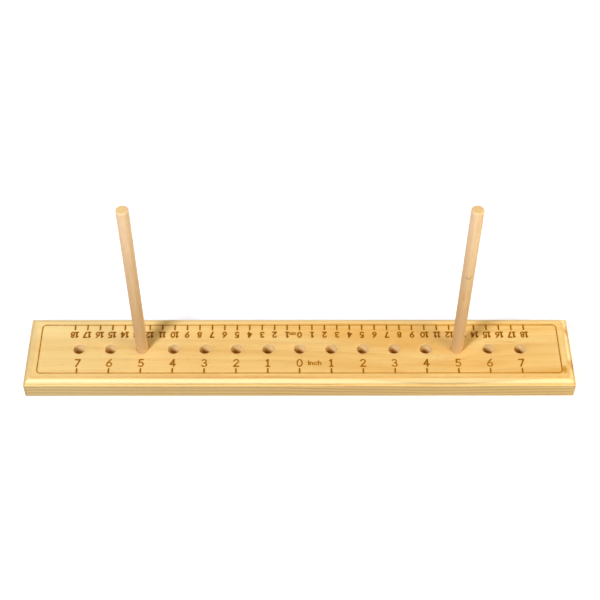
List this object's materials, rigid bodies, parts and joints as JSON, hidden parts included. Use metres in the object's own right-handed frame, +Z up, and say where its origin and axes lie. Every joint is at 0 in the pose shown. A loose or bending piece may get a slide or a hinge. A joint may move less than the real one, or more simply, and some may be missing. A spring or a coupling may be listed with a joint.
{
  "type": "fringe and bow peg board",
  "caption": "Long moulded board with a row of blind peg holes between engraved scales, and loose upright dowel pegs that set the width of a bow, tassel or fringe.",
  "frame": {"origin": "middle of the board's underside", "axes": "+X to the right along the row of holes, +Y from the inch scale at the front towards the centimetre scale at the back, +Z up along the pegs"},
  "size_m": [0.44, 0.0668, 0.1841],
  "materials": {
    "board": "satin",
    "peg": "satin"
  },
  "bodies": {
    "board": {"board": "board"},
    "left_peg": {"left_peg": "peg"},
    "right_peg": {"right_peg": "peg"}
  },
  "joints": [
    {"name": "left_peg_lift", "type": "slide", "parent": "board", "child": "left_peg", "axis": [0, 0, 1], "range_m": [0, 0.0177]},
    {"name": "right_peg_lift", "type": "slide", "parent": "board", "child": "right_peg", "axis": [0, 0, 1], "range_m": [0, 0.0177]}
  ]
}
